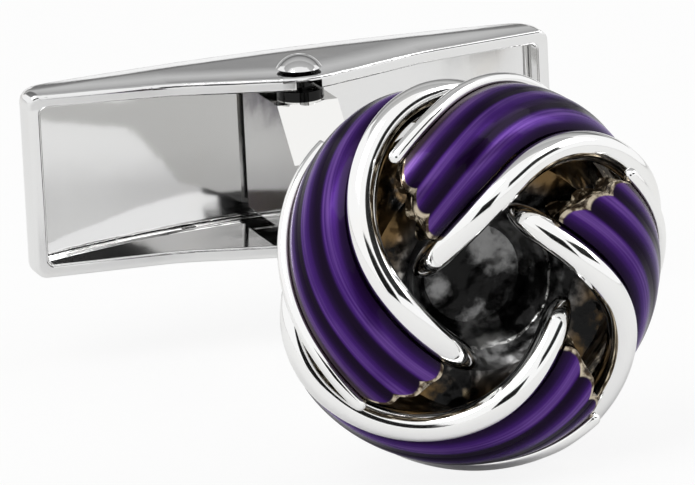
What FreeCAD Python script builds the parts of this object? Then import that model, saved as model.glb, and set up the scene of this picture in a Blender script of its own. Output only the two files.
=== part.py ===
import FreeCAD, Part
import math
import os

# Enamelled knot cufflink with a swivel toggle, in millimetres.
# The frame: the knot's flat back is the XZ plane with its centre at the origin, the knot lies on
# the -Y side with its face to -Y, the post runs along +Y to the toggle, the toggle's length is
# along X when it stands across the post, and the rivet it turns on is parallel to Z.

# Knot: four strands, each a strap with a thick inner bead and a thin outer bead.
strand_count = 4
back_depth = 2.6            # from the knot's widest plane to its flat back
pattern_turn = -3.0         # degrees, the whole pattern about the post axis
hoop_radius = 4.9           # centre line of the inner bead, an arc of a hoop
hoop_offset = 2.72          # hoop's centre to the knot's axis
hoop_rise = 2.0             # hoop's centre in front of the widest plane
hoop_tilt = 24.0            # degrees, hoop side lifted over the hole
inner_bead_radius = 0.55
strand_start = -184.0       # degrees round the hoop, under the strand before it
rise_until = -130.0         # degrees round the hoop, where a strand has come up to the hoop's plane
start_dip = 1.0             # how far below that plane it starts
start_tuck = 0.6            # how far in from the hoop it starts
dive_from = -60.0           # degrees round the hoop, where it leaves the hoop's plane again
tip_dip = 1.5               # how far below that plane its tip is
bead_tip = -20.0            # degrees round the hoop, where its tapered tip begins
tip_length = 1.5
outer_bead_radius = 0.26
strap_width = 3.62          # inner bead centre to outer bead centre
strap_slope = 57.0          # degrees below the hoop's plane, at the middle of the run
strap_twist = 0.47          # degrees of slope lost for each degree round the hoop
strap_middle = -90.0        # degrees round the hoop
strap_crown = 0.62          # enamel surface above the line between the bead centres
strap_depth = 0.55          # underside of the strap below that line at its edges
strap_arch = 0.30           # rise of the underside at mid width
end_gap = 1.12              # strap end to the centre line of the bead that crosses over it
end_slant = 1.7             # the end's arc is set off from that bead's hoop, away from the hole
crossing_sector = 125.0     # degrees of the next hoop that cross over the strap
section_step = 12.0         # degrees between strap sections
flute_count = 3
flute_arc = 90.0            # degrees of a circle in each flute
enamel_over_ridge = 0.14
enamel_shoulder = 0.28      # enamel surface above the line, beside the inner bead
enamel_lip = 0.14           # the same beside the outer bead
solder_gap = 0.03           # between a strap and the beads beside it
enamel_gap = 0.03           # between the enamel and the metal under it

# Core and back of the knot.
plate_radius = 4.7
plate_thickness = 0.8
core_radius = 5.9           # at the widest plane
core_shoulder = 4.6         # radius of the core's upper edge
core_rise = 1.7             # upper edge in front of the widest plane
well_radius = 3.2           # hollow in the middle of the knot
well_rise = 1.5             # rim of the hollow in front of the widest plane
well_floor = -0.2           # bottom of the hollow, in front of the widest plane
well_floor_radius = 1.8

# Post.
pivot_distance = 15.9       # back of the knot to the rivet's axis
head_width = 2.4            # along X, at the rivet
stem_width = 1.2            # along X, by the knot
stem_height = 1.0           # along Z
shoulder_length = 0.6       # full width goes on this far in front of the shoulders
taper_length = 4.0          # from head width down to stem width
shoulder_angle = 48.0       # degrees, slope of the T's shoulders
shoulder_lead = 0.8         # top of the shoulders in front of the rivet's axis
tail_clearance = 0.15       # post's round tail to the tray's floor
collar_radius = 0.9         # round the rivet, between the T's ends and the tray's long walls
collar_height = 0.4
foot_radius = 1.7           # round foot, pressed into the back plate
foot_recess = 0.05          # behind the plate's face

# Toggle.
tray_length = 19.8          # inside
tray_height = 6.1           # inside, at the ends
tray_waist = 0.08           # each long wall comes in by this at the middle
wall = 0.5
rim_behind_pivot = 1.05     # rim at the ends
rim_at_ears = 0.4           # rim behind the rivet's axis where it starts to rise to its middle
rim_before_pivot = 1.35     # rim at its middle point
rim_ear = 5.0               # half length of the raised middle of the rim
floor_at_middle = 3.65      # floor behind the rivet's axis, an arc from end to end
floor_at_ends = 2.0
floor_thickness = 0.45      # at the middle
end_thickness = 0.9         # of the floor at the ends
ear_round = 6.0             # where the rim rises to its middle, seen from above
apex_round = 3.0            # at its middle point
end_round = 1.3             # outer corners of the back, seen from above
inner_corner = 0.3          # corners between floor and ends, inside
floor_fillet = 0.25         # between floor and long walls, inside
edge_round = 0.45           # outer long edges
rim_round = 0.18            # outer edge of the rim
rim_inner_round = 0.1       # inner edge of the rim
notch_depth = 0.35          # into each long wall from inside, from the rim to the rivet
collar_clearance = 0.15     # post's collars to the tray's long walls

# Rivet.
rivet_radius = 0.5
rivet_fit = 0.04            # radial clearance in the post
rivet_seat = 0.01           # radial clearance in the tray's walls
rivet_head_radius = 0.86
rivet_head_height = 0.64
rivet_head_edge = 0.14      # widest part of the head above the wall
rivet_head_foot = 0.72      # radius of the head on the wall

# Worked out from the values above.
strand_step = 360.0 / strand_count
edge_in = inner_bead_radius + solder_gap
edge_out = strap_width - outer_bead_radius - solder_gap
flute_half = (edge_out - edge_in) / flute_count / 2
enamel_over_valley = enamel_over_ridge + flute_half * math.tan(math.radians(flute_arc / 4))
tray_half = tray_length / 2
shell_half = tray_half + wall
waist_half_height = tray_height / 2 - tray_waist
collar_end = waist_half_height - collar_clearance
tail_radius = floor_at_middle - tail_clearance
far = 40.0                  # longer than anything it cuts

X = FreeCAD.Vector(1, 0, 0)
Y = FreeCAD.Vector(0, 1, 0)
Z = FreeCAD.Vector(0, 0, 1)
O = FreeCAD.Vector(0, 0, 0)
pivot = FreeCAD.Vector(0, pivot_distance, 0)


def turn(axis, degrees):
    return FreeCAD.Placement(O, FreeCAD.Rotation(axis, degrees))


def shift(x, y, z):
    return FreeCAD.Placement(FreeCAD.Vector(x, y, z), FreeCAD.Rotation())


def hoop_frame(number):
    """Frame of one strand's hoop: its Z is the hoop's axis, its X points over the hole."""
    lean = shift(-hoop_offset, 0, hoop_rise) * turn(Y, -hoop_tilt)
    facing = shift(0, -back_depth, 0) * turn(X, 90)
    return facing * turn(Z, pattern_turn + strand_step * number) * lean


def placed(shape, frame):
    copy = shape.copy()
    copy.Placement = frame
    return copy


def rounded_face(corners):
    """Closed flat face in XY from corners (x, y, radius), each corner rounded by its radius."""
    points = [FreeCAD.Vector(x, y, 0) for x, y, radius in corners]
    edges = []
    last = None
    first = None
    for i, (x, y, radius) in enumerate(corners):
        here = points[i]
        back = (points[i - 1] - here).normalize()
        ahead = (points[(i + 1) % len(points)] - here).normalize()
        if radius > 0:
            half = back.getAngle(ahead) / 2
            run = radius / math.tan(half)
            middle = (back + ahead).normalize() * (radius / math.sin(half) - radius)
            start, stop = here + back * run, here + ahead * run
        else:
            start = stop = here
        if last is not None:
            edges.append(Part.makeLine(last, start))
        else:
            first = start
        if radius > 0:
            edges.append(Part.Arc(start, here + middle, stop).toShape())
        last = stop
    edges.append(Part.makeLine(last, first))
    return Part.Face(Part.Wire(edges))


def bowed_face(half_length, half_height, waist):
    """Face in XZ: a rectangle whose long sides come in by the waist at the middle."""
    corner = [FreeCAD.Vector(sx * half_length, 0, sz * half_height)
              for sx, sz in ((-1, -1), (1, -1), (1, 1), (-1, 1))]
    low = FreeCAD.Vector(0, 0, waist - half_height)
    high = FreeCAD.Vector(0, 0, half_height - waist)
    return Part.Face(Part.Wire([
        Part.Arc(corner[0], low, corner[1]).toShape(),
        Part.makeLine(corner[1], corner[2]),
        Part.Arc(corner[2], high, corner[3]).toShape(),
        Part.makeLine(corner[3], corner[0]),
    ]))


def strap_point(angle, across, up):
    """Point of a strap's section: across it from the inner bead, up from the bead centres' line."""
    slope = math.radians(strap_slope - strap_twist * (angle - strap_middle))
    rising = (max(0, rise_until - angle) / (rise_until - strand_start)) ** 2
    diving = (max(0, angle - dive_from) / (bead_tip - dive_from)) ** 2
    radius = hoop_radius + across * math.cos(slope) + up * math.sin(slope) - start_tuck * rising
    height = up * math.cos(slope) - across * math.sin(slope) - start_dip * rising - tip_dip * diving
    around = math.radians(angle)
    return FreeCAD.Vector(radius * math.cos(around), radius * math.sin(around), height)


def section_angles():
    steps = math.ceil((bead_tip - strand_start) / section_step)
    return [strand_start + (bead_tip - strand_start) * i / steps for i in range(steps + 1)]


def crown_height(share):
    """Enamel surface above the bead centres' line, share of the way from inner to outer edge."""
    straight = enamel_shoulder + (enamel_lip - enamel_shoulder) * share
    middle = strap_crown - (enamel_shoulder + enamel_lip) / 2
    return straight + 4 * middle * share * (1 - share)


def flute_point(angle, share, enamel):
    return strap_point(angle, edge_in + (edge_out - edge_in) * share, crown_height(share) - enamel)


def flute_edges(angle, valley_depth, ridge_depth):
    """A fluted face at these depths below the crown, an arch for each flute, from the inner edge out."""
    edges = []
    for i in range(flute_count):
        valley = flute_point(angle, i / flute_count, valley_depth)
        ridge = flute_point(angle, (i + 0.5) / flute_count, ridge_depth)
        after = flute_point(angle, (i + 1) / flute_count, valley_depth)
        edges.append(Part.Arc(valley, ridge, after).toShape())
    return edges


def enamel_section(angle):
    inner, outer = flute_point(angle, 0, 0), flute_point(angle, 1, 0)
    crown = Part.Arc(outer, flute_point(angle, 0.5, 0), inner).toShape()
    rise = Part.makeLine(flute_point(angle, 1, enamel_over_valley), outer)
    fall = Part.makeLine(inner, flute_point(angle, 0, enamel_over_valley))
    return Part.Wire(flute_edges(angle, enamel_over_valley, enamel_over_ridge) + [rise, crown, fall])


def band_section(angle):
    inner = strap_point(angle, edge_in, -strap_depth)
    outer = strap_point(angle, edge_out, -strap_depth)
    middle = strap_point(angle, strap_width / 2, strap_arch - strap_depth)
    valley_depth, ridge_depth = enamel_over_valley + enamel_gap, enamel_over_ridge + enamel_gap
    fall = Part.makeLine(flute_point(angle, 1, valley_depth), outer)
    under = Part.Arc(outer, middle, inner).toShape()
    rise = Part.makeLine(inner, flute_point(angle, 0, valley_depth))
    return Part.Wire(flute_edges(angle, valley_depth, ridge_depth) + [fall, under, rise])


def lofted(section):
    return Part.makeLoft([section(angle) for angle in section_angles()], True, False)


def wire_path(across):
    path = Part.BSplineCurve()
    path.interpolate([strap_point(angle, across, 0) for angle in section_angles()])
    return path


def round_wire(path, radius):
    start = path.value(path.FirstParameter)
    along = path.tangent(path.FirstParameter)[0]
    ring = Part.Wire(Part.makeCircle(radius, start, along))
    return Part.Wire(path.toShape()).makePipeShell([ring], True, False)


def end_cutter():
    """What a strap gives way to: a ring by the next hoop, on the side that crosses over."""
    inner = hoop_radius - end_gap
    face = Part.Face(Part.makePolygon([
        FreeCAD.Vector(inner, 0, -far), FreeCAD.Vector(far, 0, -far),
        FreeCAD.Vector(far, 0, far), FreeCAD.Vector(inner, 0, far), FreeCAD.Vector(inner, 0, -far),
    ]))
    face.rotate(O, Z, -crossing_sector)
    ring = face.revolve(O, Z, crossing_sector)
    ring.translate(X * -end_slant)
    return ring


def strap_part(long_solid):
    """A solid as long as the strap, put in its place, cut off at the next strand and at the back."""
    cutter = end_cutter()
    cutter.Placement = hoop_frame(1) * cutter.Placement
    return trim_back(placed(long_solid, hoop_frame(0)).cut(cutter))


def trim_back(solid):
    """Take off what stands past the flat back."""
    behind = Part.makeBox(far, far, far, FreeCAD.Vector(-far / 2, 0, -far / 2))
    return solid.cut(behind).Solids[0]


def bead_end():
    """Tapered tip of the thick wire: half an ellipsoid from the origin along Z."""
    half = Part.Ellipse(FreeCAD.Vector(0, 0, tip_length), FreeCAD.Vector(inner_bead_radius, 0, 0), O)
    quarter = Part.ArcOfEllipse(half, 0, math.pi / 2).toShape()
    ends = [vertex.Point for vertex in quarter.Vertexes]
    face = Part.Face(Part.Wire([quarter, Part.makeLine(ends[1], O), Part.makeLine(O, ends[0])]))
    return face.revolve(O, Z, 360)


def inner_bead():
    """Thick wire along the edge by the hole, with its tip."""
    path = wire_path(0)
    end = path.value(path.LastParameter)
    ahead = path.tangent(path.LastParameter)[0]
    tip = placed(bead_end(), FreeCAD.Placement(end, FreeCAD.Rotation(Z, ahead)))
    return trim_back(placed(round_wire(path, inner_bead_radius).fuse(tip), hoop_frame(0)))


def around_knot(shape, number):
    copy = shape.copy()
    copy.rotate(O, Y, -strand_step * number)
    return copy


def back_plate():
    plate = Part.makeCylinder(plate_radius, plate_thickness, O, -Y)
    return plate.cut(Part.makeCylinder(foot_radius, plate_thickness, O, -Y))


def knot_core(straps_and_beads):
    """Blackened filling under the strands, hollowed to take each of them, with an open well."""
    profile = [(0, -well_floor), (well_floor_radius, -well_floor), (well_radius, -well_rise),
               (core_shoulder, -core_rise), (core_radius, 0), (plate_radius, back_depth - plate_thickness),
               (0, back_depth - plate_thickness), (0, -well_floor)]
    outline = Part.makePolygon([FreeCAD.Vector(x, y - back_depth, 0) for x, y in profile])
    core = Part.Face(outline).revolve(O, Y, 360)
    for shape in straps_and_beads:
        core = core.cut(shape)
    return max(core.Solids, key=lambda solid: solid.Volume)


def post():
    """T-shaped post: its side view crossed with its view from above, and a collar at each end."""
    tail = pivot_distance + tail_radius
    shoulder = pivot_distance - shoulder_lead
    arm = collar_end - collar_height
    neck = shoulder - (arm - stem_height / 2) / math.tan(math.radians(shoulder_angle))
    side = [(-foot_recess, stem_height / 2), (neck, stem_height / 2), (shoulder, arm), (tail, arm)]
    upper = [FreeCAD.Vector(0, y, z) for y, z in side]
    lower = [FreeCAD.Vector(0, y, -z) for y, z in reversed(side)]
    plate = Part.Face(Part.makePolygon(upper + lower + upper[:1])).extrude(X * head_width)
    plate.translate(X * (-head_width / 2))
    wide_from = neck - shoulder_length
    tail_corner = pivot_distance + math.sqrt(tail_radius ** 2 - (head_width / 2) ** 2)
    plan = [(stem_width / 2, -foot_recess), (stem_width / 2, wide_from - taper_length),
            (head_width / 2, wide_from), (head_width / 2, tail_corner)]
    right = [FreeCAD.Vector(x, y, -far / 2) for x, y in plan]
    left = [FreeCAD.Vector(-x, y, -far / 2) for x, y in reversed(plan)]
    round_tail = Part.Arc(right[-1], FreeCAD.Vector(0, tail, -far / 2), left[0]).toShape()
    outline = Part.Wire(Part.makePolygon(left + right).Edges + [round_tail])
    blade = plate.common(Part.Face(outline).extrude(Z * far))
    collars = Part.makeCylinder(collar_radius, 2 * collar_end, pivot - Z * collar_end, Z)
    foot = Part.makeCylinder(foot_radius, plate_thickness - foot_recess, Y * -foot_recess, -Y)
    body = blade.fuse([collars, foot]).removeSplitter()
    bore = Part.makeCylinder(rivet_radius + rivet_fit, far, pivot - Z * (far / 2), Z)
    return body.cut(bore)


def bowed_block(half_length, end, middle, corner):
    """Block from the XZ plane to a back that swells from its ends to its middle, seen from above."""
    points = [FreeCAD.Vector(x, y, -far / 2) for x, y in (
        (half_length, end), (half_length, 0), (-half_length, 0), (-half_length, end))]
    back = Part.Arc(points[-1], FreeCAD.Vector(0, middle, -far / 2), points[0]).toShape()
    block = Part.Face(Part.Wire(Part.makePolygon(points).Edges + [back])).extrude(Z * far)
    upright = [edge for edge in block.Edges if edge.BoundBox.ZLength > wall and edge.BoundBox.YMin > wall]
    return block.makeFillet(corner, upright)


def toggle_blank():
    """Outside of the tray with its long edges rounded, still too long towards the knot."""
    end = pivot_distance + floor_at_ends + end_thickness
    middle = pivot_distance + floor_at_middle + floor_thickness
    front = bowed_face(shell_half, tray_height / 2 + wall, tray_waist)
    blank = bowed_block(shell_half, end, middle, end_round).common(front.extrude(Y * far))
    sharp = [edge for edge in blank.Edges if edge.BoundBox.ZLength < wall < edge.BoundBox.YMax]
    return blank.makeFillet(edge_round, sharp)


def before_rim():
    """All that lies in front of the tray's rim, which rises to a blunt point at its middle."""
    apex = pivot_distance - rim_before_pivot
    ear = pivot_distance + rim_at_ears
    fall = (rim_behind_pivot - rim_at_ears) / (shell_half - rim_ear)
    outer = ear + fall * (far - rim_ear)
    plan = rounded_face([
        (-far, outer, 0), (-rim_ear, ear, ear_round), (0, apex, apex_round), (rim_ear, ear, ear_round),
        (far, outer, 0), (far, -far, 0), (-far, -far, 0),
    ])
    plan.translate(Z * (-far / 2))
    return plan.extrude(Z * far)


def toggle_inside():
    end = pivot_distance + floor_at_ends
    middle = pivot_distance + floor_at_middle
    front = bowed_face(tray_half, tray_height / 2, tray_waist)
    room = bowed_block(tray_half, end, middle, inner_corner).common(front.extrude(Y * far))
    corners = [edge for edge in room.Edges if edge.BoundBox.ZLength < wall and edge.BoundBox.YMin > pivot_distance]
    return room.makeFillet(floor_fillet, corners)


def on_rim_face(edge):
    """Whether an edge only parts two stretches of the rim: it runs straight across the wall."""
    return edge.BoundBox.XLength < rim_round and edge.BoundBox.ZLength < 2 * wall


def is_inside(edge):
    box = edge.BoundBox
    return max(-box.XMin, box.XMax) < tray_half + wall / 4 and max(-box.ZMin, box.ZMax) < (tray_height + wall) / 2


def rim_edges(shell, inner):
    """Edges of the rim, all round it: the inner ones or the outer ones."""
    rim_end = pivot_distance + rim_behind_pivot + rim_inner_round
    return [edge for edge in shell.Edges
            if edge.BoundBox.YMax < rim_end and not on_rim_face(edge) and is_inside(edge) == inner]


def toggle_shell():
    shell = toggle_blank().cut(before_rim()).cut(toggle_inside())
    shell = shell.makeFillet(rim_round, rim_edges(shell, False))
    shell = shell.makeFillet(rim_inner_round, rim_edges(shell, True))
    seat = rivet_radius + rivet_seat
    hole = Part.makeCylinder(seat, far, pivot - Z * (far / 2), Z)
    reach = waist_half_height + notch_depth
    notch = Part.makeBox(2 * seat, far, 2 * reach, pivot - X * seat - Y * far - Z * reach)
    return shell.cut([hole, notch])


def toggle_rivet():
    """Shank with two low domed heads."""
    under = waist_half_height + wall
    edge = under + rivet_head_edge
    rise = rivet_head_height - rivet_head_edge
    dome = (rivet_head_radius ** 2 + rise ** 2) / (2 * rise)
    centre = edge + rise - dome
    half_way = math.asin(rivet_head_radius / dome) / 2
    top = FreeCAD.Vector(0, 0, centre + dome)
    between = FreeCAD.Vector(dome * math.sin(half_way), 0, centre + dome * math.cos(half_way))
    corners = [FreeCAD.Vector(x, 0, z) for x, z in (
        (rivet_head_radius, edge), (rivet_head_foot, under), (rivet_radius, under), (rivet_radius, 0),
        (0, 0))]
    lines = Part.makePolygon(corners + [top]).Edges
    outline = Part.Wire([Part.Arc(top, between, corners[0]).toShape()] + lines)
    upper = Part.Face(outline).revolve(O, Z, 360)
    rivet = upper.fuse(upper.mirror(O, Z)).removeSplitter()
    rivet.translate(pivot)
    return rivet


def knot_parts():
    strand = {
        "strap_band": strap_part(lofted(band_section)),
        "enamel": strap_part(lofted(enamel_section)),
        "inner_bead": inner_bead(),
        "outer_bead": strap_part(round_wire(wire_path(strap_width), outer_bead_radius)),
    }
    parts = {}
    for name, shape in strand.items():
        for number in range(strand_count):
            parts[f"{name}_{number + 1}"] = around_knot(shape, number)
    hollows = [shape for name, shape in parts.items() if not name.startswith("enamel")]
    parts["knot_core"] = knot_core(hollows)
    parts["back_plate"] = back_plate()
    return parts


def toggle_parts():
    return {"toggle_shell": toggle_shell(), "toggle_rivet": toggle_rivet()}


os.makedirs("parts", exist_ok=True)
all_parts = knot_parts()
all_parts["post"] = post()
all_parts.update(toggle_parts())
for name, shape in all_parts.items():
    shape.exportStep(f"parts/{name}.step")
    box = shape.BoundBox
    print(name, shape.isValid(), len(shape.Solids), round(shape.Volume, 3),
          [round(v, 2) for v in (box.XMin, box.XMax, box.YMin, box.YMax, box.ZMin, box.ZMax)])
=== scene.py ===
# %% [markdown]
# # A knot cufflink with a swivel toggle
# The packed solids are the fixed frame: every piece made here sits where its solid sits. The strands of
# the knot are made again from their own curves, because polished metal and glossy enamel show every
# facet of a coarse mesh in their reflections.

# %% Load the frame
import bpy
import bmesh
import math
from mathutils import Matrix, Vector


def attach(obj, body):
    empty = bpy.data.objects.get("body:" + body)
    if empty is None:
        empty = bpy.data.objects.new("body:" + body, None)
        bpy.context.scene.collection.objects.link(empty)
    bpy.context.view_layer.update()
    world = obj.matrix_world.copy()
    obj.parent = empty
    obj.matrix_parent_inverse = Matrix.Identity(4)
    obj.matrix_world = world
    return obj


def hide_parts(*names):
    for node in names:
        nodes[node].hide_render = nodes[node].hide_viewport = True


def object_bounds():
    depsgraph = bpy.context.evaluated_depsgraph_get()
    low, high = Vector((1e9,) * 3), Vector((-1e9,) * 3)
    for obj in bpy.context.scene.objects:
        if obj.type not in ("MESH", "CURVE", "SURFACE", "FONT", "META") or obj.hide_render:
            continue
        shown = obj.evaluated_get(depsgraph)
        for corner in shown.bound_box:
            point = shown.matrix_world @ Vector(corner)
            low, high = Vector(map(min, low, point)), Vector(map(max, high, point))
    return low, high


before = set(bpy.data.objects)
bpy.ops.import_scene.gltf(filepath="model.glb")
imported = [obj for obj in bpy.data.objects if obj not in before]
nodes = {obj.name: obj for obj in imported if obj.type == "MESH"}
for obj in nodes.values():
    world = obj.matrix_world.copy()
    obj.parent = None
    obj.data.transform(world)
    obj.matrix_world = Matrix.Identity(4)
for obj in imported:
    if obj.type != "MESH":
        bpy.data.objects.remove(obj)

cad_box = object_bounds()
MM = 0.001
print("frame:", len(nodes), "solids, box", [round(v * 1000, 2) for corner in cad_box for v in corner])

# %% [markdown]
# ## Finishes as sums
# A finish is a small network of shader nodes. Wiring them one by one hides the idea, so a socket is
# wrapped in a class whose operators add Math nodes. One method makes every other kind of node: it takes
# the node's type, its settings, and the values or links of its sockets.

# %% Sockets that can be added and multiplied
class Wire:
    """An output socket that takes part in sums."""

    def __init__(self, finish, socket):
        self.finish = finish
        self.socket = socket

    def sum(self, operation, *others):
        values = {i: value for i, value in enumerate((self, *others))}
        return self.finish.node("ShaderNodeMath", {"operation": operation}, values)

    def __add__(self, other):
        return self.sum("ADD", other)

    def __radd__(self, other):
        return self.sum("ADD", other)

    def __sub__(self, other):
        return self.sum("SUBTRACT", other)

    def __rsub__(self, other):
        return (self * -1).sum("ADD", other)

    def __mul__(self, other):
        return self.sum("MULTIPLY", other)

    def __rmul__(self, other):
        return self.sum("MULTIPLY", other)

    def __truediv__(self, other):
        return self.sum("DIVIDE", other)

    def sine(self):
        return self.sum("SINE")

    def size(self):
        return self.sum("ABSOLUTE")

    def between(self, low, high):
        """0 up to low, 1 from high on, smooth in between."""
        return self.finish.node("ShaderNodeMapRange", {"interpolation_type": "SMOOTHSTEP"},
                                {"Value": self, "From Min": low, "From Max": high})


class Finish:
    """A node tree, and one method that adds to it."""

    def __init__(self, owner):
        owner.use_nodes = True
        self.owner = owner
        self.tree = owner.node_tree
        self.tree.nodes.clear()

    def node(self, kind, settings=None, sockets=None, out=0):
        made = self.tree.nodes.new(kind)
        for name, value in (settings or {}).items():
            if name == "stops":
                ramp = made.color_ramp
                while len(ramp.elements) < len(value):
                    ramp.elements.new(0.5)
                for element, (place, colour) in zip(ramp.elements, value):
                    element.position = place
                    element.color = (*colour, 1)
            else:
                setattr(made, name, value)
        for name, value in (sockets or {}).items():
            if isinstance(value, Wire):
                self.tree.links.new(value.socket, made.inputs[name])
            else:
                made.inputs[name].default_value = value
        return Wire(self, made.outputs[out])

    def mix(self, share, first, second):
        """A colour between two colours."""
        return self.node("ShaderNodeMix", {"data_type": "RGBA"}, {0: share, 6: first, 7: second}, out=2)

    def noise(self, where, scale, detail=2.0, roughness=0.5):
        """Noise from 0 to 1, with its scale in bumps per metre."""
        return self.node("ShaderNodeTexNoise", None, {
            "Vector": where, "Scale": scale, "Detail": detail, "Roughness": roughness})

    def bump(self, height, depth, strength=1.0):
        """A normal for a surface with hollows up to this deep, in metres."""
        return self.node("ShaderNodeBump", None, {"Strength": strength, "Distance": depth, "Height": height})

    def place(self):
        """Where a point lies in the part's own frame, in metres."""
        return self.node("ShaderNodeTexCoord", out="Object")

    def surface(self, shader):
        """Ends a material with this shader."""
        ending = self.tree.nodes.new("ShaderNodeOutputMaterial")
        self.tree.links.new(shader.socket, ending.inputs["Surface"])
        return self.owner

    def parts(self, vector, axes):
        """The named parts of a vector, each as a wire."""
        return [self.node("ShaderNodeSeparateXYZ", None, {"Vector": vector}, out=axis) for axis in axes]

    def facing(self, axes):
        """The named parts of the direction that the surface faces."""
        return self.parts(self.node("ShaderNodeNewGeometry", out="Normal"), axes)


def colour(red, green, blue):
    return (red, green, blue, 1.0)


print("sums ready:", [name for name in Wire.__dict__ if name.startswith("__") and name.endswith("__")])

# %% [markdown]
# ## The camera
# The photograph was taken from in front of the knot, from the left and from above, with a long lens.
# The angles come from matching the outlines of the knot and of the tray. The knot is right of the
# picture's middle, so the camera stands a little to the left of it and looks straight ahead.

# %% Place the camera
azimuth = math.radians(-18.7)
elevation = math.radians(15.0)
roll = math.radians(-2.8)
picture_width, focal_length = 695, 9000     # in pixels
shift_left, shift_up = 4.490, 1.127         # of the camera from the knot's middle, in millimetres
distance = 0.322                            # in metres
toward = Vector((math.sin(azimuth) * math.cos(elevation), -math.cos(azimuth) * math.cos(elevation),
                 math.sin(elevation)))
level = Vector((0, 0, 1)).cross(toward).normalized()
upright = toward.cross(level)
right = level * math.cos(roll) + upright * math.sin(roll)
above = upright * math.cos(roll) - level * math.sin(roll)
knot_middle = Vector((0, -2.6, 0)) * MM
lens = bpy.data.cameras.new("camera")
lens.sensor_width = 36.0
lens.lens = focal_length / picture_width * lens.sensor_width
lens.clip_start = 0.02
lens.clip_end = 20.0
camera = bpy.data.objects.new("camera", lens)
spot = knot_middle - right * (shift_left * MM) + above * (shift_up * MM) + toward * distance
camera.matrix_world = Matrix((
    (right.x, above.x, toward.x, spot.x),
    (right.y, above.y, toward.y, spot.y),
    (right.z, above.z, toward.z, spot.z),
    (0, 0, 0, 1),
))
bpy.context.scene.collection.objects.link(camera)
bpy.context.scene.camera = camera
bpy.context.scene.view_settings.view_transform = "Standard"
print("camera at", [round(v * 1000) for v in spot], "mm, lens", round(lens.lens), "mm")

# %% [markdown]
# ## Light tent, floor and cards
# Small polished things are photographed inside a white tent: almost everything that the metal mirrors is
# white, and a few dark or grey patches draw the lines that show its shape. The world is the tent. The
# darkest patch is the opening in the tent that the lens looks through, and grey cards stand behind the
# toggle. All of them are plain planes that the camera doesn't see: only reflections show them.

# %% The tent
world = bpy.data.worlds.new("tent")
bpy.context.scene.world = world
tent = Finish(world)
path = {name: tent.node("ShaderNodeLightPath", out=name)
        for name in ("Is Camera Ray", "Is Glossy Ray", "Is Transmission Ray")}
seen = path["Is Camera Ray"].sum("MAXIMUM", path["Is Glossy Ray"]).sum("MAXIMUM", path["Is Transmission Ray"])
cloth_light, white_light = 0.55, 1.0        # what the tent gives as light, and how bright it looks
cloth = tent.node("ShaderNodeBackground", None, {"Color": colour(1, 1, 1), "Strength": cloth_light})
white = tent.node("ShaderNodeBackground", None, {"Color": colour(1, 1, 1), "Strength": white_light})
both = tent.node("ShaderNodeMixShader", None, {0: seen, 1: cloth, 2: white})
ending = tent.tree.nodes.new("ShaderNodeOutputWorld")
tent.tree.links.new(both.socket, ending.inputs["Surface"])
print("tent:", len(tent.tree.nodes), "nodes")

# %% Planes for the floor and the cards
def flat_sheet(name, middle, facing, width, height):
    """A plane whose front looks along facing, as part of the stage."""
    mesh = bpy.data.meshes.new(name)
    w, h = width / 2, height / 2
    mesh.from_pydata([(-w, -h, 0), (w, -h, 0), (w, h, 0), (-w, h, 0)], [], [(0, 1, 2, 3)])
    made = bpy.data.objects.new(name, mesh)
    made.rotation_mode = "QUATERNION"
    made.rotation_quaternion = Vector(facing).to_track_quat("Z", "Y")
    made.location = middle
    bpy.context.scene.collection.objects.link(made)
    return made


grain_scale, grain_blur = 40.0, 0.02        # of the cards' paint


def card_paint(name, shades):
    """Paint that changes from the card's lower edge to its upper edge, as (share of the way, shade)."""
    card = Finish(bpy.data.materials.new(name))
    height, = card.parts(card.node("ShaderNodeTexCoord", out="Generated"), "Y")
    grain = card.noise(card.place(), grain_scale) - 0.5
    paint = card.node("ShaderNodeValToRGB", {"stops": [(place, (s, s, s)) for place, s in shades]},
                      {"Fac": height + grain * grain_blur})
    return card.surface(card.node("ShaderNodeEmission", None, {"Color": paint, "Strength": 1.0}))


def direction(side, height):
    """Unit vector towards a compass angle and a height, both in degrees; 0 is in front of the knot."""
    a, e = math.radians(side), math.radians(height)
    return Vector((math.sin(a) * math.cos(e), -math.cos(a) * math.cos(e), math.sin(e)))


card_centre = Vector((0, 6, 0)) * MM        # between the knot and the toggle


def hang_card(name, side, height, width, tall, shades, away=0.25):
    """A card at that angle from the knot, its size given in degrees as seen from there."""
    facing = direction(side, height)
    w = 2 * away * math.tan(math.radians(width) / 2)
    h = 2 * away * math.tan(math.radians(tall) / 2)
    made = flat_sheet(name, facing * away + card_centre, -facing, w, h)
    made.data.materials.append(card_paint(name, shades))
    made.visible_camera = False
    made.visible_shadow = False
    made.visible_diffuse = False
    return made


cards = [
    hang_card("lens_opening", -16, 14, 30, 26, [(0.0, 0.004), (1.0, 0.02)]),
    hang_card("dark_card_right", 40, 29, 44, 18, [(0.0, 0.008), (1.0, 0.04)]),
    hang_card("grey_card_top", 161, 74, 80, 30, [(0.0, 0.40), (1.0, 0.55)]),
    hang_card("grey_card_back", 161, 39, 70, 62, [
        (0.0, 0.10), (0.076, 0.22), (0.13, 0.36), (0.20, 0.60), (0.25, 0.45),
        (0.29, 0.16), (0.37, 0.16), (0.50, 0.40), (1.0, 0.75)]),
]
print("cards:", [card.name for card in cards])

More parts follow.
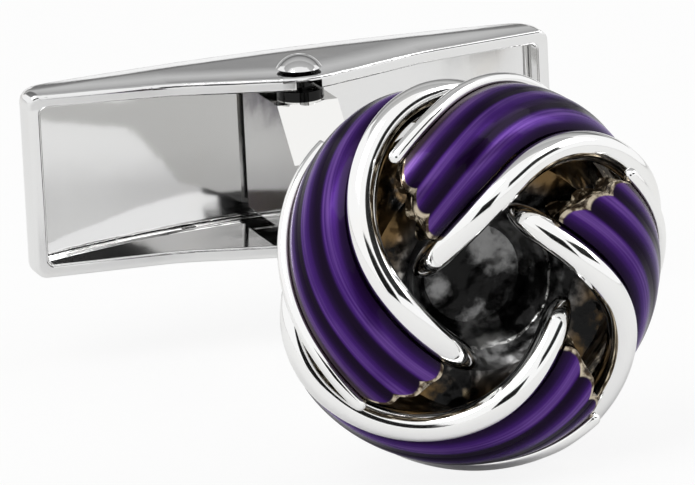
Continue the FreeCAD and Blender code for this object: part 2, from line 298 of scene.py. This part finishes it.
# %% The floor
floor_level = cad_box[0].z
floor_gap, floor_size = 0.00002, 4.0        # metres
fibre_scale, white_share = 900.0, 0.88      # of the paper, and how far the camera sees it as plain white
floor = flat_sheet("floor", (0, 0, floor_level - floor_gap), (0, 0, 1), floor_size, floor_size)
ground = Finish(bpy.data.materials.new("pale_floor"))
ray = ground.node("ShaderNodeLightPath", out="Is Camera Ray")
fibre = ground.noise(ground.place(), fibre_scale)
paper = ground.node("ShaderNodeBsdfDiffuse", None, {
    "Color": ground.mix(fibre, colour(0.84, 0.84, 0.835), colour(0.88, 0.88, 0.87))})
glow = ground.node("ShaderNodeEmission", None, {"Color": colour(1, 1, 1), "Strength": 1.0})
floor.data.materials.append(ground.surface(
    ground.node("ShaderNodeMixShader", None, {0: ray * white_share, 1: paper, 2: glow})))
print("floor at", round(floor_level * 1000, 2), "mm")

# %% Soft lamps
def soft_lamp(name, side, height, size, power, away=0.45):
    """A square lamp at that angle from the knot, with its size in metres and its power in watts."""
    lamp = bpy.data.lights.new(name, "AREA")
    lamp.shape = "SQUARE"
    lamp.size = size
    lamp.energy = power
    made = bpy.data.objects.new(name, lamp)
    facing = direction(side, height)
    made.rotation_mode = "QUATERNION"
    made.rotation_quaternion = facing.to_track_quat("Z", "Y")
    made.location = facing * away
    bpy.context.scene.collection.objects.link(made)
    return made


lamps = [
    soft_lamp("key_lamp", -60, 55, 0.25, 0.9),
    soft_lamp("fill_lamp", 75, 40, 0.25, 0.5),
]
print("lamps:", [(lamp.name, lamp.data.energy) for lamp in lamps])

# %% [markdown]
# ## The curve that every strand follows
# The knot is four equal strands, each a quarter turn from the last. A strand runs along an arc of a hoop
# that leans over the hole: it comes up from under the strand before it, crosses over, and dives into
# the hole. Across the strand come the thick inner bead, the enamelled strap and the thin outer bead.
# The same sizes as in the solids are written here in millimetres.

# %% Sizes of a strand
strand_count = 4
back_depth, pattern_turn = 2.6, -3.0
hoop_radius, hoop_offset, hoop_rise, hoop_tilt = 4.9, 2.72, 2.0, 24.0
strand_start, rise_until, start_dip, start_tuck = -184.0, -130.0, 1.0, 0.6
dive_from, tip_dip, bead_tip, tip_length = -60.0, 1.5, -20.0, 1.5
inner_bead_radius, outer_bead_radius = 0.55, 0.26
strap_width, strap_slope, strap_twist, strap_middle = 3.62, 57.0, 0.47, -90.0
strap_crown, strap_depth, strap_arch = 0.62, 0.55, 0.30
end_gap, end_slant, crossing_sector = 1.12, 1.7, 125.0
flute_count, flute_arc, enamel_over_ridge = 3, 90.0, 0.14
enamel_shoulder, enamel_lip, solder_gap, enamel_gap = 0.28, 0.14, 0.03, 0.03
edge_in = inner_bead_radius + solder_gap
edge_out = strap_width - outer_bead_radius - solder_gap
flute_depth = (edge_out - edge_in) / flute_count / 2 * math.tan(math.radians(flute_arc / 4))


def hoop_frame(number):
    """From a strand's own hoop, flat round its middle, to the knot in millimetres."""
    turn = math.radians(pattern_turn + 360.0 / strand_count * number)
    tilt = Matrix.Rotation(math.radians(-hoop_tilt), 4, "Y")
    lean = Matrix.Translation((-hoop_offset, 0, hoop_rise)) @ tilt
    facing = Matrix.Translation((0, -back_depth, 0)) @ Matrix.Rotation(math.radians(90), 4, "X")
    return facing @ Matrix.Rotation(turn, 4, "Z") @ lean


def strap_point(angle, across, up):
    """A point of the strand in its hoop: along by an angle in degrees, across and up in millimetres."""
    slope = math.radians(strap_slope - strap_twist * (angle - strap_middle))
    rising = (max(0, rise_until - angle) / (rise_until - strand_start)) ** 2
    diving = (max(0, angle - dive_from) / (bead_tip - dive_from)) ** 2
    radius = hoop_radius + across * math.cos(slope) + up * math.sin(slope) - start_tuck * rising
    height = up * math.cos(slope) - across * math.sin(slope) - start_dip * rising - tip_dip * diving
    around = math.radians(angle)
    return Vector((radius * math.cos(around), radius * math.sin(around), height))


print("a strand's bead runs", round(sum((strap_point(a + 1, 0, 0) - strap_point(a, 0, 0)).length
                                       for a in range(int(strand_start), int(bead_tip))), 1), "mm")

# %% [markdown]
# ## Where a strap ends
# A strap stops short of the next strand's bead, along an arc, and all strands stop at the flat back. A
# line along the strap is followed until it meets either, so the mesh has clean ends and needs no cutting.

# %% Ends of a line along the strap
here_hoop, next_hoop = hoop_frame(0), hoop_frame(1)
to_next = next_hoop.inverted() @ here_hoop


def under_next(point):
    """Whether a point in the strand's own hoop frame lies where the next strand crosses over."""
    seen_from = to_next @ point + Vector((end_slant, 0, 0))
    angle = math.degrees(math.atan2(seen_from.y, seen_from.x))
    return math.hypot(seen_from.x, seen_from.y) > hoop_radius - end_gap and -crossing_sector < angle < 0


def behind_back(point):
    return (here_hoop @ point).y > 0


halvings = 30


def meeting(line, clear, blocked, test):
    """The angle between a clear one and a blocked one where a line meets what the test finds."""
    for _ in range(halvings):
        middle = (clear + blocked) / 2
        if test(line(middle)):
            blocked = middle
        else:
            clear = middle
    return clear


def line_ends(line, trimmed):
    """First and last angle of a line along the strand; trimmed lines stop at the next strand's bead."""
    first, last = strand_start, bead_tip
    middle, count = -100.0, 80      # an angle that is always clear, and steps from there to the tip
    if behind_back(line(first)):
        first = meeting(line, middle, first, behind_back)
    if trimmed:
        steps = [middle + (bead_tip - middle) * i / count for i in range(count + 1)]
        for before, after in zip(steps, steps[1:]):
            if under_next(line(after)):
                last = meeting(line, before, after, under_next)
                break
    return first, last


print("outer edge of a strap runs from", [round(v, 1) for v in line_ends(
    lambda angle: strap_point(angle, strap_width, 0), True)], "degrees")

# %% [markdown]
# ## Turning lines into a mesh
# Each piece of a strand is a bundle of lines along it. Joining neighbouring lines gives its skin, and
# one face at each end closes it. The share along and across is kept as a UV map, so that a finish can
# follow the strand.

# %% Skins from lines
def skin(name, rows, shares=None):
    """A closed piece from rows of points; a row goes once round the piece."""
    around = len(rows[0])
    points = [point for row in rows for point in row]
    faces = [(r * around + i, r * around + (i + 1) % around,
              (r + 1) * around + (i + 1) % around, (r + 1) * around + i)
             for r in range(len(rows) - 1) for i in range(around)]
    faces.append(tuple(reversed(range(around))))
    faces.append(tuple((len(rows) - 1) * around + i for i in range(around)))
    mesh = bpy.data.meshes.new(name)
    mesh.from_pydata(points, [], faces)
    if shares:
        layer = mesh.uv_layers.new(name="strap")
        for loop in mesh.loops:
            row, place = divmod(loop.vertex_index, around)
            layer.data[loop.index].uv = (row / (len(rows) - 1), shares[place])
    work = bmesh.new()
    work.from_mesh(mesh)
    bmesh.ops.recalc_face_normals(work, faces=work.faces)
    work.to_mesh(mesh)
    work.free()
    mesh.polygons.foreach_set("use_smooth", [True] * len(mesh.polygons))
    return mesh


def knot_piece(name, mesh, number, node):
    """One strand's copy of a mesh in the knot, which stands for its solid."""
    copy = mesh.copy()
    copy.name = name
    copy.transform(Matrix.Scale(MM, 4) @ hoop_frame(number))
    made = bpy.data.objects.new(name, copy)
    bpy.context.scene.collection.objects.link(made)
    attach(made, "knot")
    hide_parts(node)
    return made


def sharp_by_angle(piece, degrees):
    """Smooth reflections on curved faces, crisp edges where faces meet more steeply than this."""
    split = piece.modifiers.new("crisp_edges", "EDGE_SPLIT")
    split.split_angle = math.radians(degrees)
    return piece


print("skins ready")

# %% [markdown]
# ## Polished metal
# The beads, the tray, the post and the rivet are plated and polished like a mirror. A perfect mirror looks
# like a drawing, so the polish is a little uneven: soft waves left by the wheel, hair-fine scratches, and
# a roughness that changes slowly over the piece.

# %% Mirror polish
cloud_scale, wave_scale, hair_scale = 260.0, 700.0, 5200.0      # bumps per metre
hair_stretch = (9.0, 1.0, 1.0)
dull_change, hair_depth = 0.05, 0.012


def polished(name, tint, dull, wave, relief=None, painted_side_shade=1.0, painted_shade=None):
    """Mirror polish of that tint; relief adds a height to its waves, in shares of the waves' depth.

    Faces that look left or right are painted darker by the side factor, as painted shade, and the last
    argument is a mask for black painted shade.
    """
    metal = Finish(bpy.data.materials.new(name))
    where = metal.place()
    cloud = metal.noise(where, cloud_scale, 3.0)
    hair = metal.noise(metal.node("ShaderNodeMapping", None, {"Vector": where, "Scale": hair_stretch}),
                       hair_scale, 4.0, 0.7)
    skin_waves = metal.noise(where, wave_scale, 1.5)
    warm = (tint[0] * 0.98, tint[1] * 0.93, tint[2] * 0.86)
    paint = metal.mix(cloud.between(0.55, 0.8) * 0.5, colour(*tint), colour(*warm))
    # painted shade: faces that look left or right get a darker colour
    if painted_side_shade < 1:
        across, = metal.facing("X")
        shaded = colour(*(part * painted_side_shade for part in tint))
        paint = metal.mix(across.size().between(0.6, 0.9), paint, shaded)
    # painted shade: black where shade falls under the rivet's heads and on the post's collars
    if painted_shade:
        paint = metal.mix(painted_shade(metal, where), paint, colour(0.02, 0.02, 0.02))
    height = skin_waves * 0.8 + hair * hair_depth
    if relief:
        height = height + relief(metal, where)
    return metal.surface(metal.node("ShaderNodeBsdfPrincipled", None, {
        "Base Color": paint, "Metallic": 1.0, "Roughness": dull + cloud * dull_change,
        "Normal": metal.bump(height, wave)}))


print("polish ready: waves about", round(1000 / wave_scale, 1), "mm long")

# %% [markdown]
# ## Small shapes of the tray and the rivet
# A polishing wheel rolls edges over, and a press leaves walls that open a little. Such shapes are far
# finer than the solid's walls, yet a mirror shows them. They could be cut into the mesh, but the solid is
# kept as it is, so they are added to the finish as heights, in shares of its wave depth. The place in the
# part's frame also says where black is painted as shade in the rivet's joint.

# %% Relief and painted shade in the toggle's joint
fine_wave = 0.000006            # wave depth on the post, the tray and the rivet, in metres
back_edge, back_curve, back_roll, back_drop = 0.0200, 11.0, 0.0013, 11.0
rim_middle, rim_rise, rim_ends, rim_slope = 0.01455, 0.35, 0.0157, 0.12
rim_roll, rim_drop = 0.0022, 17.0
wall_draft, rim_lean, lean_from = 17500.0, 33000.0, 0.0030      # slopes of 6 and 11 degrees
flat_from, flat_slope = 0.0012, 11000.0                         # a slope of 4 degrees
pivot_place, head_press = 0.0159, 2.6e7
# heights where the painted black shade stops under the rivet's heads and starts on the post's collars
head_ring = (0.00358, 0.00360)
collar_foot = (0.00243, 0.00245)


def tray_relief(metal, where):
    """Walls rolled over to the back edge (an arc) and to the rim (a roof), and a pressed inside.

    The inner walls open a little to the rim, the upper rim leans in, and the floor is flatter on the right.
    """
    x, y, z = metal.parts(where, "XYZ")
    behind = (back_edge - x * x * back_curve - y).between(0.0, back_roll) * back_drop
    rim = (x.size() * rim_rise + rim_middle).sum("MINIMUM", x.size() * rim_slope + rim_ends)
    before = (1 - (y - rim) / rim_roll).sum("MAXIMUM", 0.0)
    forward, upward = metal.facing("YZ")
    inside = (upward * z * -1).between(0.001, 0.002)
    lean = (z - lean_from).sum("MAXIMUM", 0.0)
    flatter = (x - flat_from).sum("MAXIMUM", 0.0) * (forward * -1).between(0.7, 0.9)
    rolled = (behind - before * before * rim_drop) * (1 - inside)
    return rolled + inside * y * wall_draft + lean * rim_lean - flatter * flat_slope


def rivet_relief(metal, where):
    """The rivet's domes, pressed a little flatter round their middle."""
    x, y = metal.parts(where, "XY")
    return (x * x + (y - pivot_place) * (y - pivot_place)) * head_press


def shade_under_heads(metal, where):
    """Painted shade: black on the rivet below the widest ring of its heads."""
    z, = metal.parts(where, "Z")
    return 1 - z.size().between(*head_ring)


def shade_on_collars(metal, where):
    """Painted shade: black on the post's collars, between its arms and the tray's long walls."""
    z, = metal.parts(where, "Z")
    return z.size().between(*collar_foot)


print("the tray's inner walls open by", round(math.degrees(math.atan(wall_draft * fine_wave)), 1), "degrees")

# %% Metals of the part
silver = polished("polished_silver", (0.93, 0.93, 0.925), 0.05, 0.000012)
# painted shade on the rivet: black below the widest ring of its heads
rivet_silver = polished("polished_rivet", (0.82, 0.82, 0.82), 0.06, fine_wave, rivet_relief,
                        painted_shade=shade_under_heads)
# painted shade on the post: its sides are painted darker and its collars black
post_silver = polished("polished_post", (0.90, 0.895, 0.88), 0.06, fine_wave, painted_side_shade=0.66,
                       painted_shade=shade_on_collars)
tray_silver = polished("polished_tray", (0.85, 0.85, 0.85), 0.06, fine_wave, tray_relief)
satin = polished("satin_back", (0.50, 0.50, 0.50), 0.38, 0.000010)
print("metals:", [metal.name for metal in (silver, rivet_silver, post_silver, tray_silver, satin)])

# %% [markdown]
# ## Blackened metal
# The gaps between the strands and the hole in the middle were left dark and rough from casting. Lumps and
# pits come as bump; their crests and a thin ring round the hole are painted bright as glints, and brown shows
# where the black is thin.

# %% Oxidised casting
lump_scale, grit_scale, thin_scale = 700.0, 5200.0, 520.0       # bumps per metre
lump_depth = 0.00050
hole_edge = (0.0030, 0.0042)    # from the knot's axis: grey inside, brown in the gaps outside
# the thin bright ring round the hole is a painted highlight
ring_radius, ring_width, ring_wobble = 0.0029, 0.00003, 0.0006


def blackened(name):
    """Black casting skin, with painted glints on its lump crests and a bright painted ring round the hole."""
    metal = Finish(bpy.data.materials.new(name))
    where = metal.place()
    x, z = metal.parts(where, "XZ")
    off_axis = (x * x + z * z).sum("SQRT")
    outside = off_axis.between(*hole_edge)
    lumps = metal.noise(where, lump_scale, 2.0, 0.45)
    grit = metal.noise(where, grit_scale, 3.0, 0.6)
    thin = metal.noise(where, thin_scale, 3.0)
    worn = metal.mix(outside, colour(0.22, 0.22, 0.22), colour(0.15, 0.095, 0.042))
    paint = metal.mix((thin + grit * 0.14).between(0.52, 0.68), colour(0.014, 0.014, 0.014), worn)
    # painted glints: lump crests and the ring round the hole are painted bright
    glint = metal.mix(outside, colour(0.60, 0.60, 0.59), colour(0.44, 0.34, 0.20))
    ring = 1 - ((off_axis + thin * ring_wobble - ring_radius).size() / ring_width).between(0.4, 1.6)
    bright = lumps.between(0.66, 0.74).sum("MAXIMUM", ring * grit.between(0.42, 0.5))
    paint = metal.mix(bright, paint, glint)
    return metal.surface(metal.node("ShaderNodeBsdfPrincipled", None, {
        "Base Color": paint, "Metallic": 1.0, "Roughness": 0.16 + thin * 0.24,
        "Normal": metal.bump(lumps + grit * 0.03, lump_depth)}))


spot_scale, spot_depth = 2600.0, 0.00006


def tarnished(name):
    """Bare metal at the cut ends of the straps, gold-brown with bright worn spots."""
    metal = Finish(bpy.data.materials.new(name))
    where = metal.place()
    spots = metal.noise(where, spot_scale, 4.0, 0.6)
    paint = metal.mix(spots.between(0.50, 0.66), colour(0.035, 0.024, 0.014), colour(0.72, 0.62, 0.46))
    return metal.surface(metal.node("ShaderNodeBsdfPrincipled", None, {
        "Base Color": paint, "Metallic": 1.0, "Roughness": 0.25 + spots * 0.2,
        "Normal": metal.bump(spots, spot_depth)}))


black_metal = blackened("blackened_casting")
strap_metal = tarnished("tarnished_strap")
print("dark metals:", black_metal.name, strap_metal.name)

# %% [markdown]
# ## Enamel over flutes
# The purple enamel is clear glass over fluted metal. Over a ridge it is thin and the metal shines through
# in violet; over a valley it is deep and almost black. Each stripe is also painted lighter towards one
# side, as painted shading of light from that side, with a painted highlight at its brightest. The stripes
# follow the strap, so the colour is worked out from the share across it, and the metal under the glass
# gets its flutes as bump while the glass on top stays smooth.

# %% Purple enamel
drift_scale, chip_scale = 330.0, 3000.0     # bumps per metre
strap_end = (0.989, 0.994)                  # share along the strap where the glass stops
stripe_reach, stripe_bend, stripe_drift = 0.84, 0.16, 0.014     # narrower towards the thin bead
stripe_rises, stripe_falls = (-0.06, 0.56), (0.70, 0.86)        # shares of a flute
flute_bump = 0.00010


def enamel_finish(name):
    """Stripes across the strap: violet over a flute's ridge, nearly black over a valley, with painted shading
    and a painted highlight.
    """
    glass = Finish(bpy.data.materials.new(name))
    along, share = glass.parts(glass.node("ShaderNodeUVMap", {"uv_map": "strap"}), "XY")
    drift = glass.noise(glass.place(), drift_scale, 2.0) - 0.5
    wander = share * (stripe_reach + share * share * share * stripe_bend) + drift * stripe_drift
    place = (wander * flute_count).sum("FRACT")
    # painted shading: each stripe brightens across its flute and then drops off sharply, as if lit from one
    # side
    rise = place.between(*stripe_rises) * (1 - place.between(*stripe_falls))
    lines = glass.node("ShaderNodeCombineXYZ", None, {"X": along * 2.2, "Y": share * 26.0})
    drawn = glass.noise(lines, 1.0, 3.0)
    light = rise * (0.46 + drawn * 0.62) + drift * 0.30
    # the last, brightest stop is a painted lilac highlight
    paint = glass.node("ShaderNodeValToRGB", {"stops": [
        (0.0, (0.0075, 0.0022, 0.0150)), (0.30, (0.0170, 0.0045, 0.045)),
        (0.66, (0.052, 0.014, 0.150)), (1.0, (0.210, 0.100, 0.400))]}, {"Fac": light})
    paint = glass.mix(share.between(0.80, 1.0) * 0.6, paint, colour(0.070, 0.046, 0.058))
    ending = along.between(*strap_end)
    chips = glass.noise(glass.place(), chip_scale, 3.0).between(0.40, 0.60)
    paint = glass.mix(ending, paint, glass.mix(chips, colour(0.06, 0.04, 0.025), colour(0.58, 0.50, 0.38)))
    ridge = (wander * (math.pi * flute_count)).sine().size()
    return glass.surface(glass.node("ShaderNodeBsdfPrincipled", None, {
        "Base Color": paint, "Metallic": 0.5 + ending * 0.5, "Roughness": 0.24, "Specular IOR Level": 0.03,
        "Normal": glass.bump(ridge, flute_bump, 0.3),
        "Coat Weight": 0.08, "Coat Roughness": 0.03, "Coat IOR": 1.5}))


purple = enamel_finish("purple_enamel")
print("enamel:", purple.name)

# %% [markdown]
# ## Beads
# The thick bead is a round wire along the hoop, with a tapered tip that dives into the hole. The thin bead
# is the same at the strap's outer edge, cut off with the strap. A wire needs a ring of points at each
# place along its line, square to the line.

# %% Rings along a line
tip_share = 0.985           # of a quarter turn, which leaves a tiny flat at the very end


def ring_at(middle, along, radius, count):
    """Points of a circle round a line, square to it."""
    side = along.cross(Vector((0, 0, 1))).normalized()
    up = side.cross(along).normalized()
    turns = [2 * math.pi * i / count for i in range(count)]
    return [middle + (side * math.cos(turn) + up * math.sin(turn)) * radius for turn in turns]


def wire_rows(line, first, last, radius, steps, count):
    """Rings of a round wire from the first angle to the last."""
    rows = []
    for i in range(steps + 1):
        angle = first + (last - first) * i / steps
        along = (line(angle + 0.05) - line(angle - 0.05)).normalized()
        rows.append(ring_at(line(angle), along, radius, count))
    return rows


def tip_rows(line, last, radius, length, steps, count):
    """Rings of a rounded tip that goes on from a wire's end."""
    along = (line(last) - line(last - 0.1)).normalized()
    rows = []
    for i in range(1, steps + 1):
        turn = math.pi / 2 * i / steps * tip_share
        middle = line(last) + along * (length * math.sin(turn))
        rows.append(ring_at(middle, along, radius * math.cos(turn), count))
    return rows


def bead_line(angle):
    return strap_point(angle, 0, 0)


def edge_line(angle):
    return strap_point(angle, strap_width, 0)


print("tip of the thick bead at", [round(v, 2) for v in bead_line(bead_tip)], "mm in its hoop")

# %% Wires of the beads
box_allowance = 0.002       # a finer mesh than the solid's would stand out of its box by microns
mesh_radius = inner_bead_radius - box_allowance
thick_steps, thick_round, thick_tip = 150, 40, 18
thin_steps, thin_round, thin_tip = 130, 24, 8
bead_first, bead_last = line_ends(bead_line, False)
inner_rows = wire_rows(bead_line, bead_first, bead_last, mesh_radius, thick_steps, thick_round)
inner_rows += tip_rows(bead_line, bead_last, mesh_radius, tip_length, thick_tip, thick_round)
edge_first, edge_last = line_ends(edge_line, True)
outer_rows = wire_rows(edge_line, edge_first, edge_last, outer_bead_radius, thin_steps, thin_round)
outer_rows += tip_rows(edge_line, edge_last, outer_bead_radius, outer_bead_radius, thin_tip, thin_round)
inner_mesh, outer_mesh = skin("inner_bead", inner_rows), skin("outer_bead", outer_rows)
beads = []
for n in range(strand_count):
    beads.append(knot_piece(f"thick_bead_{n + 1}", inner_mesh, n, f"inner_bead_{n + 1}"))
    beads.append(knot_piece(f"thin_bead_{n + 1}", outer_mesh, n, f"outer_bead_{n + 1}"))
for bead in beads:
    bead.data.materials.append(silver)
print("beads:", len(beads), "with", sum(len(bead.data.vertices) for bead in beads), "points")

# %% [markdown]
# ## Straps and their enamel
# A strap's section is a curved bar with flutes on top, and the enamel fills the flutes up to a smooth
# crown. Both are drawn as a closed loop of points across the strap, and each point runs along the strand
# to its own end.

# %% Sections across a strap
lobe_depth, flute_dip = 2.6, 0.02           # of a strap's end in degrees, and of the glass in millimetres


def crown_height(share):
    """Top of the glass over the strap's middle surface, in millimetres."""
    straight = enamel_shoulder + (enamel_lip - enamel_shoulder) * share
    middle = strap_crown - (enamel_shoulder + enamel_lip) / 2
    return straight + 4 * middle * share * (1 - share)


def flute_height(share):
    """Top of the fluted metal: an arch for each flute."""
    place = (share * flute_count) % 1.0
    return crown_height(share) - enamel_over_ridge - enamel_gap - flute_depth * (2 * place - 1) ** 2


def lobe(share):
    """How far a strap's end stands back, in degrees: each flute ends in a round lobe."""
    return lobe_depth * (2 * ((share * flute_count) % 1.0) - 1) ** 2


def section_rows(loop, places, steps):
    """Rows for a loop of (across, up) points at these shares, each with its own ends along the strand."""
    lines = [lambda angle, a=across, u=up: strap_point(angle, a, u) for across, up in loop]
    ends = [line_ends(line, True) for line in lines]
    ends = [(first, last - lobe(share)) for (first, last), share in zip(ends, places)]
    return [[line(first + (last - first) * i / steps) for line, (first, last) in zip(lines, ends)]
            for i in range(steps + 1)]


def across_at(share):
    return edge_in + (edge_out - edge_in) * share


def glass_top(share):
    """The crown, drawn in a little over each valley."""
    return crown_height(share) - flute_dip * abs(math.cos(math.pi * flute_count * share)) ** 4


print("glass stands", round(crown_height(0.5), 2), "mm high in the middle of a strap")

# %% Straps with their enamel
across_steps, glass_steps, band_steps, belly_skip = 48, 110, 80, 4
crisp_angle = 50            # degrees
shares = [i / across_steps for i in range(across_steps + 1)]
crown = [(across_at(s), glass_top(s)) for s in shares]
under_glass = [(across_at(s), flute_height(s) + enamel_gap) for s in reversed(shares)]
both_ways = shares + list(reversed(shares))
enamel_mesh = skin("enamel", section_rows(crown + under_glass, both_ways, glass_steps), both_ways)
fluted = [(across_at(s), flute_height(s)) for s in shares]
back_again = list(reversed(shares[::belly_skip]))
belly = [(across_at(s), strap_arch * 4 * s * (1 - s) - strap_depth) for s in back_again]
band_mesh = skin("strap_band", section_rows(fluted + belly, shares + back_again, band_steps))
straps = []
for n in range(strand_count):
    glass = knot_piece(f"purple_enamel_{n + 1}", enamel_mesh, n, f"enamel_{n + 1}")
    glass.data.materials.append(purple)
    band = knot_piece(f"fluted_band_{n + 1}", band_mesh, n, f"strap_band_{n + 1}")
    band.data.materials.append(strap_metal)
    straps += [sharp_by_angle(glass, crisp_angle), sharp_by_angle(band, crisp_angle)]
print("straps:", len(straps), "pieces with", sum(len(s.data.vertices) for s in straps), "points")

# %% [markdown]
# ## Solids that are kept
# The core, the back plate, the post, the tray and the rivet have the right shape already, with edges
# that are crisp where they should be. They only get a finish.

# %% Finish for the kept solids
kept = {
    "post": post_silver,
    "toggle_rivet": rivet_silver,
    "toggle_shell": tray_silver,
    "back_plate": satin,
    "knot_core": black_metal,
}
for node, material in kept.items():
    nodes[node].data.materials.clear()
    nodes[node].data.materials.append(material)
print("kept solids:", [name for name, piece in nodes.items() if not piece.hide_render])

# %% [markdown]
